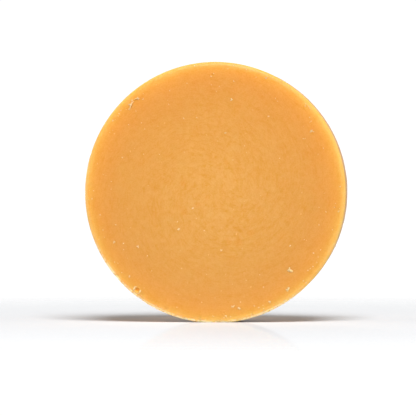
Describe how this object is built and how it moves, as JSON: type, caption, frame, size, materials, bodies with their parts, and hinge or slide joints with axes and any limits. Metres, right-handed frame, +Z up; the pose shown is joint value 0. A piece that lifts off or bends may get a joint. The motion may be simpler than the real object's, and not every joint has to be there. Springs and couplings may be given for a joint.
{
  "type": "shaving soap puck",
  "caption": "Round puck of hard shaving soap with flat faces and softly rounded edges, lathered with a brush or set into a shaving bowl.",
  "frame": {"origin": "the middle of the puck, on its axis", "axes": "+Y along the puck's axis, from the front face to the back face; +Z up, so the puck stands on its rim"},
  "size_m": [0.07, 0.0254, 0.0698],
  "materials": {
    "soap": "smooth waxy amber soap",
    "crumbs": "dry pale soap crumbs"
  },
  "bodies": {
    "root": {"soap_puck": "soap", "face_crumbs": "crumbs"}
  },
  "joints": []
}
